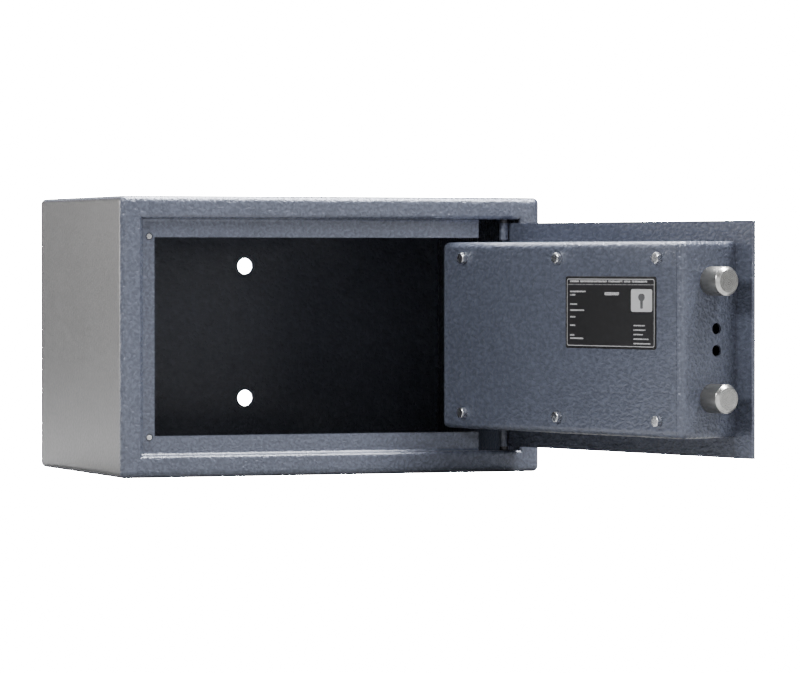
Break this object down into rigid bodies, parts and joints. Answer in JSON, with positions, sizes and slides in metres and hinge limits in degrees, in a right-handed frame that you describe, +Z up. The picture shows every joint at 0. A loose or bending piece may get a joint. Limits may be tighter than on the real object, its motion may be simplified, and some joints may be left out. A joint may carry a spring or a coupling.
{
  "type": "wall safe",
  "caption": "Small steel wall safe with an open side-hinged door, boxed bolt work, round locking bolts, turning knob and key lock.",
  "frame": {"origin": "centre of the body's base, on the underside of the floor", "axes": "+Z up, front opening faces -Y, hinge pins on the +X side, +Y points out of the back at the wall"},
  "size_m": [0.3838, 0.4663, 0.2],
  "materials": {
    "hammered_paint": "blue-grey hammered stoving paint, satin",
    "zinc_steel": "bright zinc plate",
    "turned_steel": "turned bright steel",
    "plated_steel": "zinc plated sheet",
    "brass": "machined brass",
    "black_label": "black printed film with a silver border",
    "satin_chrome": "satin chrome",
    "key_nickel": "nickel plated"
  },
  "bodies": {
    "body": {"body_shell": "hammered_paint", "back_panel": "hammered_paint", "door_stop_left": "hammered_paint", "door_stop_top": "hammered_paint", "door_stop_bottom": "hammered_paint", "stop_brackets": "hammered_paint", "stop_rivets": "zinc_steel", "hinge_bracket_upper": "hammered_paint", "hinge_bracket_lower": "hammered_paint", "hinge_pin_upper": "turned_steel", "hinge_pin_lower": "turned_steel", "hinge_washers": "zinc_steel"},
    "door": {"door_plate": "hammered_paint", "hinge_block_upper": "hammered_paint", "hinge_block_lower": "hammered_paint", "bolt_channel": "hammered_paint", "lock_cover": "hammered_paint", "cover_posts": "turned_steel", "cover_screws": "zinc_steel", "data_plate": "black_label", "knob_rosette": "satin_chrome", "spindle_bush": "brass", "guide_studs": "turned_steel", "guide_washers": "zinc_steel", "guide_screws": "zinc_steel", "lock_case": "plated_steel", "lock_case_lid": "plated_steel", "lock_case_screws": "zinc_steel", "lever_post": "plated_steel", "lever_pack": "brass", "escutcheon": "satin_chrome"},
    "handle": {"knob": "satin_chrome", "knob_grub_screw": "zinc_steel", "spindle": "turned_steel", "spindle_circlip": "zinc_steel", "cam": "plated_steel", "drive_pin": "turned_steel"},
    "bolts": {"bolt_bar": "plated_steel", "drive_plate": "plated_steel", "upper_bolt": "turned_steel", "lower_bolt": "turned_steel", "bolt_screws": "zinc_steel"},
    "lock_tongue": {"lock_bolt": "brass"},
    "key_and_bow": {"key": "key_nickel"}
  },
  "joints": [
    {"name": "door_hinge", "type": "hinge", "parent": "body", "child": "door", "pos_m": [0.1345, -0.092, 0.1], "axis": [0, 0, 1], "range_deg": [-105, 2]},
    {"name": "knob_turn", "type": "hinge", "parent": "door", "child": "handle", "pos_m": [0.18515, -0.26944, 0.1], "axis": [-0.9659, -0.2588, 0], "range_deg": [0, 60]},
    {"name": "bolt_slide", "type": "slide", "parent": "door", "child": "bolts", "axis": [-0.2588, 0.9659, 0], "range_m": [0, 0.01]},
    {"name": "key_turn", "type": "hinge", "parent": "door", "child": "key_and_bow", "pos_m": [0.18179, -0.25688, 0.049], "axis": [-0.9659, -0.2588, 0], "range_deg": [0, 90]},
    {"name": "lock_bolt_slide", "type": "slide", "parent": "door", "child": "lock_tongue", "axis": [0, 0, 1], "range_m": [0, 0.008]}
  ],
  "couplings": [
    {"joint": "knob_turn", "follows": "bolt_slide", "rad_per_m": 104.72},
    {"joint": "key_turn", "follows": "lock_bolt_slide", "rad_per_m": 196.35}
  ]
}
